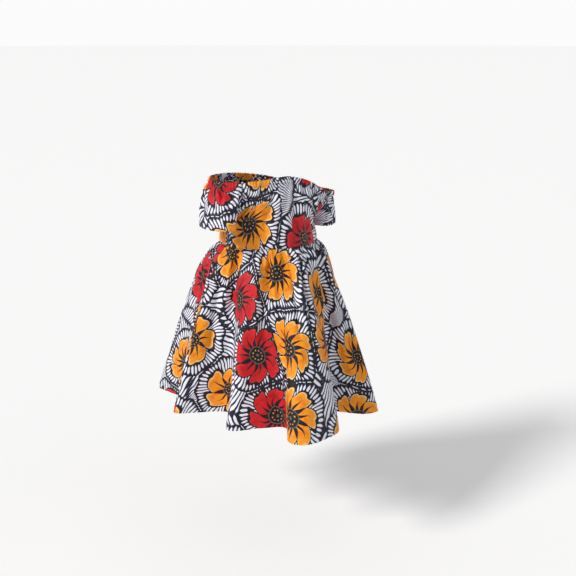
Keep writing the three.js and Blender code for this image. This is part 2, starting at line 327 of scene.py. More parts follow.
def fallen(grid):
    """How far each point is from its column's top, along the column."""
    steps = lengths(np.diff(grid, axis=0))
    return np.vstack([np.zeros(grid.shape[1]), np.cumsum(steps, axis=0)])


def respaced(grid, zones, counts):
    """A grid's columns with their rows spread again: zones are the heights in millimetres of the
    edge strips at the top and bottom, and counts the rows in them and between them."""
    fall = fallen(grid)
    columns = []
    for column, run in zip(grid.swapaxes(0, 1), fall.T):
        top, bottom = (min(zone, run[-1] * SHORT_COLUMN) for zone in zones)
        marks = [0, top, run[-1] - bottom, run[-1]]
        spans = zip(marks, marks[1:], counts)
        stops = [np.linspace(start, end, count, endpoint=False) for start, end, count in spans]
        stops = np.append(np.concatenate(stops), run[-1])
        columns.append(np.stack([np.interp(stops, run, column[:, k]) for k in range(3)], axis=-1))
    return np.stack(columns, axis=1)


# ---- the worn shape -------------------------------------------------------------------------
# Each piece's grid of points holds rows, from its top edge down, of columns across it.


def neck_stretch(start, end, columns):
    """The neckline between two of its named places."""
    first = NECK_PLACES.index(start)
    count = (NECK_PLACES.index(end) - first) % len(NECKLINE)
    return closed_curve([row[1:] for row in NECKLINE], np.linspace(first, first + count, columns + 1))


def bodice_grid(face, start, end):
    """A bodice panel between two seams: face is -1 on the front and 1 on the back."""
    share = np.linspace(0, 1, BODICE_COLUMNS + 1)
    across = face * (2 * share - 1) * -1
    side = np.where(across < 0, -1, 1)
    turn = (across if face < 0 else side * 2 - across) * math.pi / 2
    underarms = [SLEEVES[start.split()[0]]["underarm"], SLEEVES[end.split()[0]]["underarm"]]
    neck = neck_stretch(start, end, BODICE_COLUMNS)
    chest = on_oval(CHEST, turn, mix(underarms[0], underarms[1], share))
    waist = on_oval(WAIST, turn, WAIST_Z)
    down = np.linspace(0, 1, DENSE_ROWS)[:, None]
    bow = np.sin(math.pi * down)
    edge = across**2
    x = mix(neck[:, 0], chest[:, 0], down) - across * edge * RAGLAN_HOLLOW * bow
    y = mix(neck[:, 1], chest[:, 1], down**ARMHOLE_SCOOP) + face * (1 - edge) * BODICE_EASE * bow
    upper = stacked(x, y, mix(neck[:, 2], chest[:, 2], down))
    upper = respaced(upper, (CASING, 0), (CASING_ROWS, RAGLAN_ROWS - CASING_ROWS, 0))
    lower = mix(chest, waist, np.linspace(0, 1, SIDE_ROWS + 1)[:, None, None])
    return np.concatenate([upper, lower[1:]])


def sleeve_grid(sleeve, front_seam, back_seam, neck_edge):
    """A sleeve from its underarm seam, over the neckline edge and back to the underarm seam."""
    top = np.concatenate([front_seam[::-1], neck_edge[1:-1], back_seam])
    seam_turn = 90 - SEAM_TURN_AT_HEM

    def risen(seam):
        return (seam[:, 2] - seam[-1, 2]) / (seam[0, 2] - seam[-1, 2])

    turns = [
        90 - seam_turn * risen(front_seam)[::-1],
        np.linspace(90 - seam_turn, seam_turn - 270, len(neck_edge))[1:-1],
        seam_turn * risen(back_seam) - 270,
    ]
    turn = np.radians(np.concatenate(turns))
    half = np.where(np.sin(turn) > 0, sleeve["inner"], sleeve["outer"])
    x = sleeve["x"] - sleeve["side"] * half * np.sin(turn)
    hem = stacked(x, sleeve["y"] - sleeve["depth"] * np.cos(turn), sleeve["z"])
    down = np.linspace(0, 1, DENSE_ROWS)[:, None]
    out = 1 - (1 - down) ** SLEEVE_PUFF
    grid = stacked(*(mix(top[:, k], hem[:, k], out if k < 2 else down) for k in range(3)))
    return respaced(grid, (CASING, SLEEVE_HEM), (CASING_ROWS, SLEEVE_ROWS, HEM_ROWS))


def gathered_folds():
    """All fold lines as (turn at the waist, turn, radius, rise): the gathers there are even."""
    lines = []
    for folds, following in ((FRONT_FOLDS, BACK_FOLDS[0]), (BACK_FOLDS, FRONT_FOLDS[0])):
        ends = np.array([fold[:2] for fold in (*folds, following)], dtype=float)
        angle = np.radians(ends[:, 0])
        points = ends[:, 1:] * np.stack([np.sin(angle), -np.cos(angle)], axis=1)
        run = np.concatenate([[0], np.cumsum(lengths(np.diff(points, axis=0)))])
        first = -90 if folds[0][0] < 0 else 90
        lines += [(first + 180 * run[i] / run[-1], *fold) for i, fold in enumerate(folds)]
    return np.array(lines)


def skirt_ring(folds, down, places):
    """The skirt's closed ring at a share of its drop, at the given places round it."""
    waist_turn, hem_turn, radius, rise = folds.T
    turn = np.radians(mix(waist_turn, hem_turn, down))
    waist = np.hypot(WAIST["half_width"] * np.sin(turn), WAIST["half_depth"] * np.cos(turn))
    round_at = mix(waist, radius, down**rise)
    level = WAIST_Z - SKIRT_DROP * down
    x = WAIST["x"] + round_at * np.sin(turn)
    points = stacked(x, WAIST["y"] - round_at * np.cos(turn), level)
    ring = closed_curve(points, places)
    if down > WAIST_BLEND:
        return ring
    turns = np.append(waist_turn, waist_turn[0] + 360)
    seam = on_oval(WAIST, np.radians(np.interp(places, np.arange(len(turns)), turns)), level)
    return mix(seam, ring, down / WAIST_BLEND)


def skirt_grid(folds, first, last):
    """A skirt panel between two of the fold lines, with its columns evenly spread at the hem."""
    places = np.linspace(first, last, DENSE_PLACES)
    hem = skirt_ring(folds, 1, places)
    run = np.concatenate([[0], np.cumsum(lengths(np.diff(hem, axis=0)))])
    places = np.interp(np.linspace(0, run[-1], SKIRT_COLUMNS + 1), run, places)
    rows = [skirt_ring(folds, down, places) for down in np.linspace(0, 1, DENSE_ROWS) ** 1.4]
    return respaced(np.stack(rows), (0, SKIRT_HEM), (0, SKIRT_ROWS, HEM_ROWS))


# ---- a cut piece ----------------------------------------------------------------------------


class Piece:
    """A cut piece: its worn grid, its outward normals and where its seams are.

    outward is 1 where the grid's across direction crossed with its down direction points out of
    the dress, or else -1. seams are the sewn edges by name, as edge_seam gives them. neck is the
    slice of columns that end in the neckline casing, if any do, and hem its turned hem's height."""

    def __init__(self, name, grid, outward, seams, neck=None, hem=0):
        self.name = name
        self.grid = grid
        self.outward = outward
        self.seams = seams
        self.neck = neck
        self.hem = hem
        self.fall = fallen(grid)
        self.rest = self.fall[-1] - self.fall
        self.measure_across()
        self.normals = self.faced()

    def measure_across(self):
        """Measures along each row: how far each point is from its start, and its share of it."""
        steps = lengths(np.diff(self.grid, axis=1))
        self.run = np.hstack([np.zeros((len(self.grid), 1)), np.cumsum(steps, axis=1)])
        self.width = self.run[:, -1:]
        self.share = self.run / self.width

    def faced(self):
        """The outward normals of the grid as it is now."""
        across = np.gradient(self.grid, axis=1)
        down = np.gradient(self.grid, axis=0)
        return unit(np.cross(across, down)) * self.outward

    def seam_distance(self, *names):
        """How far each point is from the named seams."""
        edges = [self.grid[self.seams[name]["rows"], self.seams[name]["columns"]] for name in names]
        edges = np.concatenate(edges)
        return np.stack([lengths(row[:, None] - edges[None]).min(axis=1) for row in self.grid])

    def push(self, distance):
        """Moves the cloth out along its normals."""
        self.grid = self.grid + self.normals * distance[..., None]


def share_normals(pieces):
    """Gives points that pieces share one normal, level on the waist seam."""
    points = np.concatenate([piece.grid.reshape(-1, 3) for piece in pieces])
    normals = np.concatenate([piece.normals.reshape(-1, 3) for piece in pieces])
    _, group = np.unique(np.round(points * 100).astype(int), axis=0, return_inverse=True)
    group = group.ravel()
    total = np.zeros((group.max() + 1, 3))
    np.add.at(total, group, normals)
    shared = total[group]
    shared[np.abs(points[:, 2] - WAIST_Z) < 0.01, 2] = 0
    shared = unit(shared)
    start = 0
    for piece in pieces:
        end = start + piece.grid.shape[0] * piece.grid.shape[1]
        piece.normals = shared[start:end].reshape(piece.grid.shape)
        start = end


# ---- folds and gathers ----------------------------------------------------------------------


def fold_profile(offset, half_width):
    """1 on a fold's line, falling away to both sides, with only a small round at the top."""
    round_at = half_width * 0.3
    return np.exp(-(np.sqrt(offset**2 + round_at**2) - round_at) / (half_width * 0.75))


def creases(piece):
    """The listed troughs and ridges of a piece, each with a low swell beside it."""
    down = piece.fall / (piece.fall + piece.rest)
    total = np.zeros(down.shape)
    deepen = SKIRT_CREASE if piece.name.startswith("skirt") else TOP_CREASE
    for place, start, end, half_width, depth, drift in CREASES[piece.name]:
        offset = (piece.share - place) * piece.width - drift * (down - start) / (end - start)
        lead = (end - start) * 0.35
        fade = smooth(down, start - 0.02, start + lead * 0.6) * (1 - smooth(down, end - lead, end))
        swell = fold_profile(offset - np.sign(drift) * half_width * 2.3, half_width * 1.3)
        total += deepen * fade * depth * (swell * CREASE_SWELL - fold_profile(offset, half_width))
    return total


def gathers(along, from_edge, spread, pitch, depth, reach, seed):
    """Uneven small ridges that run from a gathered edge and die away.

    along is the distance along the edge, from_edge the distance from it, and spread how much
    wider the cloth is there than at the edge."""
    random = np.random.default_rng(seed)
    total = np.zeros(from_edge.shape)
    middle = along.min() + random.uniform(0.2, 0.8) * pitch
    while middle < along.max():
        spacing = pitch * random.uniform(0.65, 1.4)
        height = depth * random.uniform(0.55, 1.3)
        length = reach * random.uniform(0.5, 1.5)
        drift = random.uniform(-0.14, 0.14)
        offset = (along - middle) * spread - drift * from_edge
        half_width = spacing * 0.36 * (1 + from_edge / length * 0.9)
        fade = np.exp(-((from_edge / length) ** 1.6))
        total += height * fade * np.exp(-((offset / half_width) ** 2))
        middle += spacing
    return total - depth * 0.6 * np.exp(-((from_edge / reach) ** 1.6))


def seam_dip(piece, distance):
    """The valley along a seam, slightly puckered."""
    pucker = 1 + 0.35 * np.sin(piece.fall / 1.9) * np.sin(piece.run / 2.3 + 1.1)
    return -SEAM_DIP * np.exp(-((distance / 2.4) ** 2)) * pucker


def mould_skirt(piece, seed):
    sides = piece.seam_distance("right side", "left side")
    clear = 1 - np.exp(-((sides / SEAM_CLEAR["skirt"]) ** 2))
    along = piece.share * piece.width[0]
    spread = piece.width / piece.width[0]
    sewn = 1 - np.exp(-piece.fall / GATHERS_START)
    full = gathers(along, piece.fall, spread, **SKIRT_FULL, seed=seed)
    fine = gathers(along, piece.fall, spread, **SKIRT_FINE, seed=seed + 1)
    seams = piece.seam_distance(*piece.seams)
    piece.push((creases(piece) + (full + fine) * sewn) * clear + seam_dip(piece, seams))
    stitched = np.exp(-(((piece.rest - STITCHED_UP) / 2.2) ** 2))
    ripple = np.sin(piece.run / 4.1 + seed) * np.sin(piece.run / 11.3)
    near_hem = 1 - smooth(piece.rest, SKIRT_HEM * 0.6, SKIRT_HEM * 2.2)
    piece.push(stitched * -STITCH_DIP + ripple * HEM_RIPPLE * near_hem)


def casing_puff(fall):
    """How far each layer of the casing stands off its middle."""
    return CASING_PUFF * np.sqrt(np.clip(np.sin(math.pi * np.clip(fall / CASING, 0, 1)), 0, 1))


def mould_top(piece, seed):
    """Bodice panels and sleeves: the shirred casing, the gathers below it and the creases."""
    seams = piece.seam_distance(*[name for name in piece.seams if name != "waist"])
    clear = 1 - np.exp(-((seams / SEAM_CLEAR["top"]) ** 2))
    columns = np.arange(piece.grid.shape[1])
    first, last, _ = (piece.neck or slice(0, len(columns))).indices(len(columns))
    edge = np.clip(columns, first, last - 1)
    along = np.broadcast_to(piece.run[0][edge] - piece.run[0][first], piece.fall.shape)
    top = piece.run[0]
    on_neck = smooth(top, top[first] - NECK_FADE, top[first])
    on_neck = on_neck * (1 - smooth(top, top[last - 1], top[last - 1] + NECK_FADE))
    spread = 1 + 0.35 * smooth(piece.fall, 0, 60)
    below = np.maximum(piece.fall - CASING, 0)
    shirring = gathers(along, np.zeros(below.shape), 1.0, **SHIRRING, seed=seed)
    shirring = shirring * np.exp(-below / 7)
    soft = gathers(along, below, spread, **TOP_SOFT, seed=seed + 1) * (1 - np.exp(-below / 6))
    fine = gathers(along, below, spread, **TOP_FINE, seed=seed + 2)
    fine = fine * (1 - np.exp(-below / GATHERS_START))
    distance = (shirring + soft + fine) * on_neck
    puff = casing_puff(piece.fall) * on_neck
    pinch = -CASING_PINCH * np.exp(-((below / 2.2) ** 2)) * (piece.fall > CASING * 0.8) * on_neck
    if "waist" in piece.seams:
        waist = np.broadcast_to(piece.share * piece.width[-1], piece.fall.shape)
        blouse = gathers(waist, piece.rest, 1.0, **BLOUSE, seed=seed + 3)
        distance = distance + blouse * (1 - np.exp(-piece.rest / GATHERS_START))
        pinch = pinch + seam_dip(piece, piece.rest)
    if piece.hem:
        pinch = pinch - STITCH_DIP * np.exp(-(((piece.rest - piece.hem + 1.5) / 2) ** 2))
    piece.push((distance + creases(piece) + puff) * clear + pinch + seam_dip(piece, seams))
    lift = NECK_WAVE * np.exp(-piece.fall / 2.5) * on_neck * clear
    piece.grid[..., 2] += lift * shirring



# ---- meshes ---------------------------------------------------------------------------------


class ClothMesh:
    """A piece's cloth as one surface with its turned edges, and each point's place on the cut."""

    def __init__(self, piece, flat):
        self.piece = piece
        self.normals = piece.faced()
        self.numbers = np.arange(flat.shape[0] * flat.shape[1]).reshape(flat.shape[:2])
        self.points = [piece.grid]
        self.flat = [flat]
        self.count = self.numbers.size
        self.strips = [self.numbers]

    def add(self, points, flat):
        """New points with their places on the cut: their numbers in the mesh."""
        numbers = self.count + np.arange(points.shape[0] * points.shape[1])
        self.points.append(points)
        self.flat.append(flat)
        self.count += numbers.size
        return numbers.reshape(points.shape[:2])

    def turned_edge(self, top, gaps, columns=slice(None)):
        """Folds the top or bottom edge over to the inside, where it runs back along the cloth.
        gaps are the distances between the layers, a row for each row of turned cloth."""
        order = slice(None) if top else slice(None, None, -1)
        rows = len(gaps)
        grid = self.points[0][order][:rows, columns]
        normals = self.normals[order][:rows, columns]
        flat = self.flat[0][order][:rows, columns]
        beyond = unit(grid[0] - grid[1])
        radius = gaps[0][:, None] / 2
        angles = np.radians([40, 90, 140])[:, None, None]
        middle = grid[0] - normals[0] * radius
        bend = middle + radius * (normals[0] * np.cos(angles) + beyond * np.sin(angles))
        inner = grid - normals * gaps[..., None]
        off = unit(flat[0] - flat[1])
        bend_flat = flat[0] + off * radius * angles
        inner_flat = flat[0] * 2 - flat + off * radius * math.pi
        new = self.add(np.concatenate([bend, inner]), np.concatenate([bend_flat, inner_flat]))
        numbers = np.concatenate([self.numbers[order][:1, columns], new])
        self.strips.append(numbers[::-1] if top else numbers)
        return inner, normals

    def sewn_edge(self, seam):
        """Draws a sewn edge back from its seam and turns it in, square to the cloth."""
        rows, columns, deep = seam["rows"], seam["columns"], seam["deep"]
        step_row, step_column = seam["inside"]
        own = self.points[0]
        edge = own[rows, columns]
        into = own[rows + step_row, columns + step_column] - edge
        normal = self.piece.normals[rows, columns]
        into = unit(into - normal * (into * normal).sum(axis=1)[:, None])
        own[rows, columns] = edge + into * SEAM_DRAWN_BACK
        flat = self.flat[0]
        off = unit(flat[rows, columns] - flat[rows + step_row, columns + step_column])
        depths = np.array([0.35, 0.7, 1.0])[:, None, None] * deep[None, :, None]
        turned = own[rows, columns] - normal * depths + into * depths * 0.06
        new = self.add(turned, flat[rows, columns] + off * depths)
        numbers = np.concatenate([self.numbers[rows, columns][None], new])
        first = step_row > 0 or step_column > 0
        numbers = numbers[::-1] if first else numbers
        self.strips.append(numbers.T if step_column else numbers)

    def build(self):
        """The Blender object: a thin shell round this surface."""
        faces = []
        for strip in self.strips:
            corners = [strip[:-1, :-1], strip[:-1, 1:], strip[1:, 1:], strip[1:, :-1]]
            quads = np.stack(corners, axis=-1).reshape(-1, 4)
            faces.append(quads if self.piece.outward > 0 else quads[:, ::-1])
        faces = np.concatenate(faces)
        points = np.concatenate([part.reshape(-1, 3) for part in self.points]) * MM
        flat = np.concatenate([part.reshape(-1, 2) for part in self.flat]) * MM
        mesh = bpy.data.meshes.new(self.piece.name)
        mesh.from_pydata(points, [], faces.tolist())
        layer = mesh.uv_layers.new(name="cut")
        layer.data.foreach_set("uv", flat[faces.ravel()].ravel())
        mesh.shade_smooth()
        cloth = bpy.data.objects.new(f"{self.piece.name}_cloth", mesh)
        bpy.context.scene.collection.objects.link(cloth)
        shell = cloth.modifiers.new("cloth thickness", "SOLIDIFY")
        shell.thickness = CLOTH * MM
        shell.offset = 0
        return cloth


def edge_seam(piece_shape, side, start, end, deep):
    """A sewn stretch of a grid's edge, where side is left, right, top or bottom: its places in
    the grid, the step from them into the cloth, and how deep each one's allowance turns in."""
    rows, columns = piece_shape
    places = np.arange(start, end)
    fixed = {"left": 0, "right": columns - 1, "top": 0, "bottom": rows - 1}[side]
    inside = {"left": (0, 1), "right": (0, -1), "top": (1, 0), "bottom": (-1, 0)}[side]
    level = np.full(places.shape, fixed)
    own = (places, level) if side in ("left", "right") else (level, places)
    deep = np.broadcast_to(deep, places.shape)
    return {"rows": own[0], "columns": own[1], "inside": inside, "deep": deep}


# ---- shader arithmetic ----------------------------------------------------------------------


class Signal:
    """One value or vector inside a material, joined to others by ordinary arithmetic."""

    def __init__(self, tree, socket):
        self.tree = tree
        self.socket = socket

    def node(self, kind, inputs=(), **settings):
        """A new node in this signal's tree, with its settings and its named or numbered inputs."""
        node = self.tree.nodes.new(kind)
        for name, value in settings.items():
            setattr(node, name, value)
        for name, value in dict(inputs).items():
            if isinstance(value, Signal):
                self.tree.links.new(value.socket, node.inputs[name])
            else:
                node.inputs[name].default_value = value
        return node

    def math(self, operation, *others):
        inputs = dict(enumerate((self, *others)))
        return Signal(self.tree, self.node("ShaderNodeMath", inputs, operation=operation).outputs[0])

    def vector(self, operation, other=None, output=0, **inputs):
        given = {0: self, **inputs}
        if other is not None:
            given[1] = other
        node = self.node("ShaderNodeVectorMath", given, operation=operation)
        return Signal(self.tree, node.outputs[output])

    def __add__(self, other):
        return self.math("ADD", other)

    def __radd__(self, other):
        return self.math("ADD", other)

    def __sub__(self, other):
        return self.math("SUBTRACT", other)

    def __rsub__(self, other):
        return (self * -1).math("ADD", other)

    def __mul__(self, other):
        return self.math("MULTIPLY", other)

    def __rmul__(self, other):
        return self.math("MULTIPLY", other)

    def __truediv__(self, other):
        return self.math("DIVIDE", other)

    def __pow__(self, other):
        return self.math("POWER", other)

    def __abs__(self):
        return self.math("ABSOLUTE")

    def both(self, other):
        return self.math("MINIMUM", other)

    def either(self, other):
        return self.math("MAXIMUM", other)

    def spread(self, low, high):
        """0 below low and 1 above high, smoothly between: low above high turns it round."""
        turned = low > high
        ends = (high, low) if turned else (low, high)
        inputs = {"Value": self, "From Min": ends[0], "From Max": ends[1]}
        inputs |= {"To Min": float(turned), "To Max": float(not turned)}
        node = self.node("ShaderNodeMapRange", inputs, interpolation_type="SMOOTHSTEP")
        return Signal(self.tree, node.outputs[0])

    def above(self, limit, soft=0.25):
        """1 where this is past the limit, which may be a signal too."""
        return (self - limit).spread(-soft, soft)

    def below(self, limit, soft=0.25):
        return (self - limit).spread(soft, -soft)

    def parts(self):
        node = self.node("ShaderNodeSeparateXYZ", {0: self})
        return [Signal(self.tree, output) for output in node.outputs]

    def blend(self, colour, mask):
        """This colour with another laid over it where the mask is 1."""
        node = self.tree.nodes.new("ShaderNodeMix")
        node.data_type = "RGBA"
        factor, under, over = node.inputs[0], node.inputs[6], node.inputs[7]
        self.tree.links.new(mask.socket, factor)
        self.tree.links.new(self.socket, under)
        if isinstance(colour, Signal):
            self.tree.links.new(colour.socket, over)
        else:
            over.default_value = (*colour, 1)
        return Signal(self.tree, node.outputs[2])


def flat_colour(like, colour):
    """A colour as a signal, for the bottom layer of a print."""
    node = like.tree.nodes.new("ShaderNodeRGB")
    node.outputs[0].default_value = (*colour, 1)
    return Signal(like.tree, node.outputs[0])


def noise(place, scale, detail=2.0, output=0):
    inputs = {"Vector": place, "Scale": scale, "Detail": detail}
    node = place.node("ShaderNodeTexNoise", inputs, noise_dimensions="2D")
    return Signal(place.tree, node.outputs[output])


def dyed(red, green, blue):
    """A dye's colour, given as it looks, from 0 to 255, in the linear values that shaders take."""
    shares = [value / 255 for value in (red, green, blue)]
    return tuple(s / 12.92 if s <= 0.04045 else ((s + 0.055) / 1.055) ** 2.4 for s in shares)


# ---- the wax print --------------------------------------------------------------------------
# Round flowers with curled petals, each in a collar of rays, on a ground of small ray fans.
# Everything here is in millimetres of flat cloth.

FLOWER_SPACING = 118
FLOWER_SCATTER = 0.5  # 0 is a square grid
FLOWER_RADIUS = 48
PETALS = (5, 7)  # of a small and of a large flower
PETAL_CURL = 0.55  # radians that a petal turns from the heart to its tip
OUTLINE = 2.1  # half the width of the ink round a flower
RIM = 2.6  # width of the pale rim inside it
COLLAR = 19  # how far the rays round a flower reach past its petals
COLLAR_RAYS = 54
FAN_SPACING = 76
FAN_SCATTER = 0.85
FAN_REACH = 62  # from a fan's middle to where its rays would meet
FAN_RAYS = 62  # in a full turn there

ORANGE = dyed(244, 150, 16)
ORANGE_DEEP = dyed(224, 118, 10)
PEACH = dyed(246, 192, 124)
RED = dyed(204, 15, 28)
RED_DEEP = dyed(150, 6, 20)
ROSE = dyed(222, 62, 60)
INK = dyed(13, 12, 22)
NAVY = dyed(19, 21, 48)
WHITE = dyed(236, 236, 248)
ASH = dyed(104, 98, 90)
TAN = dyed(214, 150, 72)


def rays(angle, count, ends):
    """White rays of a fan with count of them in a full turn, narrowing where ends falls to 0."""
    across = abs((angle * (count / (2 * math.pi))).math("FRACT") - 0.5)
    half = ends.spread(0, 1) ** 0.6 * 0.3
    return across.below(half, 0.045)


def scattered(place, spacing, scatter):
    """The scattered cell at a place: away from its middle, its three random values and how far
    its border is."""
    scaled = place.vector("SCALE", Scale=1 / spacing)
    inputs = {"Vector": scaled, "Scale": 1.0, "Randomness": scatter}
    cell = scaled.node("ShaderNodeTexVoronoi", inputs, voronoi_dimensions="2D")
    edge = scaled.node(
        "ShaderNodeTexVoronoi", inputs, voronoi_dimensions="2D", feature="DISTANCE_TO_EDGE"
    )
    middle = Signal(place.tree, cell.outputs["Position"])
    away = scaled.vector("SUBTRACT", middle).vector("SCALE", Scale=spacing)
    border = Signal(place.tree, edge.outputs["Distance"]) * spacing
    return away, Signal(place.tree, cell.outputs["Color"]).parts(), border


def ray_fans(place):
    """The ground: small fans of white rays on navy, each turned its own way."""
    away, (lean, _, _), border = scattered(place, FAN_SPACING, FAN_SCATTER)
    x, y, _ = away.parts()
    turn = lean * 2 * math.pi
    fan_x = x + turn.math("COSINE") * FAN_REACH
    fan_y = y + turn.math("SINE") * FAN_REACH
    white = rays(fan_y.math("ARCTAN2", fan_x), FAN_RAYS, (border - 1.6) / 6)
    return flat_colour(place, NAVY).blend(WHITE, white)


def wax_print(cut):
    """The colour of the cloth at a place on the flat cut, in millimetres."""
    drift = noise(cut, 1 / 30, 1.0, output=1).vector("SUBTRACT", (0.5, 0.5, 0.5))
    place = cut.vector("ADD", drift.vector("SCALE", Scale=9.0))
    colour = ray_fans(place)

    away, (kind, size, turn), border = scattered(place, FLOWER_SPACING, FLOWER_SCATTER)
    x, y, _ = away.parts()
    angle = y.math("ARCTAN2", x)
    radius = away.vector("LENGTH", output=1)

    # The petals: beside runs from -1 to 1 across each, and outer is how far out its edge is.
    count = size.above(0.45, 0.001) * (PETALS[1] - PETALS[0]) + PETALS[0]
    whole = FLOWER_RADIUS * (0.92 + size * 0.16)
    curled = angle + turn * 2 * math.pi + (radius / FLOWER_RADIUS) ** 2 * PETAL_CURL
    beside = (curled * count / (2 * math.pi)).math("FRACT") * 2 - 1
    off = abs(beside)
    notch = (off * off * -22).math("EXPONENT")
    outer = whole * (1 - off ** 3.2 * 0.36 - notch * 0.07)
    reach = radius / outer
    half_petal = radius * math.pi / count

    # The collar of rays, with a scalloped edge.
    scallop = abs((angle * 5.5).math("SINE")) * 4
    collar = (whole + COLLAR - 4 + scallop).both(radius + border - 2)
    past = collar - radius
    spokes = rays(angle, COLLAR_RAYS, ((past - 1.6) / 5).both((radius - outer - 2) / 4))
    collar_colour = flat_colour(cut, NAVY).blend(WHITE, spokes)
    colour = colour.blend(collar_colour, past.above(0))
    colour = colour.blend(INK, abs(past).below(1.3))

    # Flat dyes, with a pale rim inside the outline.
    shade = noise(cut, 1 / 13, 2.0).above(0.56, 0.05)
    deep = shade.both(reach.below(0.8, 0.02))
    rim = (outer - radius).below(OUTLINE + RIM, 0.4)
    orange = flat_colour(cut, ORANGE).blend(ORANGE_DEEP, deep * 0.7).blend(PEACH, rim)
    red = flat_colour(cut, RED).blend(RED_DEEP, deep * 0.6).blend(ROSE, rim * 0.35)
    petal = orange.blend(red, kind.above(0.56, 0.001))

    # Ink between the petals, and a tapering vein along each one's middle.
    split = ((1 - off) * half_petal).below(0.5 + reach.spread(1.05, 0.25) * 3.2)
    vein = (off * half_petal).below(reach.spread(0.85, 0.3) * 2.2).both(reach.below(0.8, 0.02))
    petal = petal.blend(INK, split.either(vein))

    # The heart: ink with an ashen ring and a round of seeds.
    heart = whole * 0.25
    petal = petal.blend(INK, radius.below(heart))
    petal = petal.blend(ASH, abs(radius - heart * 1.13).below(0.7))
    step = 2 * math.pi / 9
    seed_across = ((angle / step).math("FRACT") - 0.5) * step * radius
    seed_out = radius - heart * 0.66
    seed = (seed_across * seed_across + seed_out * seed_out).below(1.6, 0.4)
    petal = petal.blend(TAN, seed).blend(ASH, radius.below(heart * 0.2))

    colour = colour.blend(petal, radius.below(outer))
    crowded = border.below(1.6).both(radius.below(outer))
    return colour.blend(INK, abs(radius - outer).below(OUTLINE).either(crowded))


# ---- stitches -------------------------------------------------------------------------------


def stitch_tree():
    """Stitches laid end to end along every edge line of a mesh."""
    tree = bpy.data.node_groups.new("run of stitches", "GeometryNodeTree")
    sockets = tree.interface
    sockets.new_socket("Lines", in_out="INPUT", socket_type="NodeSocketGeometry")
    for name in ("Stitch Pitch", "Stitch Length", "Thread Radius"):
        sockets.new_socket(name, in_out="INPUT", socket_type="NodeSocketFloat")
    sockets.new_socket("Thread", in_out="INPUT", socket_type="NodeSocketMaterial")
    sockets.new_socket("Stitches", in_out="OUTPUT", socket_type="NodeSocketGeometry")
    given = tree.nodes.new("NodeGroupInput").outputs

    def add(kind, output, inputs, **settings):
        """The named output of a new node with these inputs, each a value or another's output."""
        node = tree.nodes.new(kind)
        for name, value in settings.items():
            setattr(node, name, value)
        for name, value in inputs.items():
            if isinstance(value, bpy.types.NodeSocket):
                tree.links.new(value, node.inputs[name])
            else:
                node.inputs[name].default_value = value
        return node.outputs[output]

    line = add("GeometryNodeMeshToCurve", "Curve", {"Mesh": given["Lines"]})
    spaced = add(
        "GeometryNodeCurveToPoints",
        "Points",
        {"Curve": line, "Length": given["Stitch Pitch"]},
        mode="LENGTH",
    )
    bead = add("GeometryNodeMeshUVSphere", "Mesh", {"Segments": 6, "Rings": 4, "Radius": 1})
    half = add("ShaderNodeMath", 0, {0: given["Stitch Length"], 1: 2}, operation="DIVIDE")
    thick = given["Thread Radius"]
    size = add("ShaderNodeCombineXYZ", "Vector", {"X": thick, "Y": thick, "Z": half})
    shaped = add("GeometryNodeTransform", "Geometry", {"Geometry": bead, "Scale": size})
    tangent = spaced.node.outputs["Tangent"]
    aim = add("FunctionNodeAlignRotationToVector", "Rotation", {"Vector": tangent}, axis="Z")
    laid = {"Points": spaced, "Instance": shaped, "Rotation": aim}
    laid = add("GeometryNodeInstanceOnPoints", "Instances", laid)
    real = add("GeometryNodeRealizeInstances", "Geometry", {"Geometry": laid})
    real = {"Geometry": real, "Material": given["Thread"]}
    thread = add("GeometryNodeSetMaterial", "Geometry", real)
    tree.links.new(thread, tree.nodes.new("NodeGroupOutput").inputs["Stitches"])
    return tree


def stitching(lines, material):
    """One mesh of all the stitches along the given lines of points."""
    counts = [len(line) for line in lines]
    starts = np.cumsum([0, *counts[:-1]])
    edges = []
    for start, count in zip(starts, counts):
        edges += [(start + i, start + i + 1) for i in range(count - 1)]
    mesh = bpy.data.meshes.new("stitch lines")
    mesh.from_pydata(np.concatenate(lines) * MM, edges, [])
    thread = bpy.data.objects.new("stitch lines", mesh)
    bpy.context.scene.collection.objects.link(thread)
    run = thread.modifiers.new("run of stitches", "NODES")
    run.node_group = stitch_tree()
    sizes = {"Stitch Pitch": STITCH_PITCH, "Stitch Length": STITCH_LENGTH}
    sizes["Thread Radius"] = THREAD_RADIUS
    for item in run.node_group.interface.items_tree:
        if item.name in sizes:
            run[item.identifier] = sizes[item.name] * MM
        if item.name == "Thread":
            run[item.identifier] = material
    ready = thread.evaluated_get(bpy.context.evaluated_depsgraph_get())
    solid = bpy.data.meshes.new_from_object(ready)
    bpy.data.objects.remove(thread)
    stitches = bpy.data.objects.new("hem_and_casing_stitches", solid)
    bpy.context.scene.collection.objects.link(stitches)
    solid.shade_smooth()
    return stitches


# ---- materials ------------------------------------------------------------------------------


def new_material(name):
    material = bpy.data.materials.new(name)
    material.use_nodes = True
    return material, material.node_tree.nodes["Principled BSDF"]


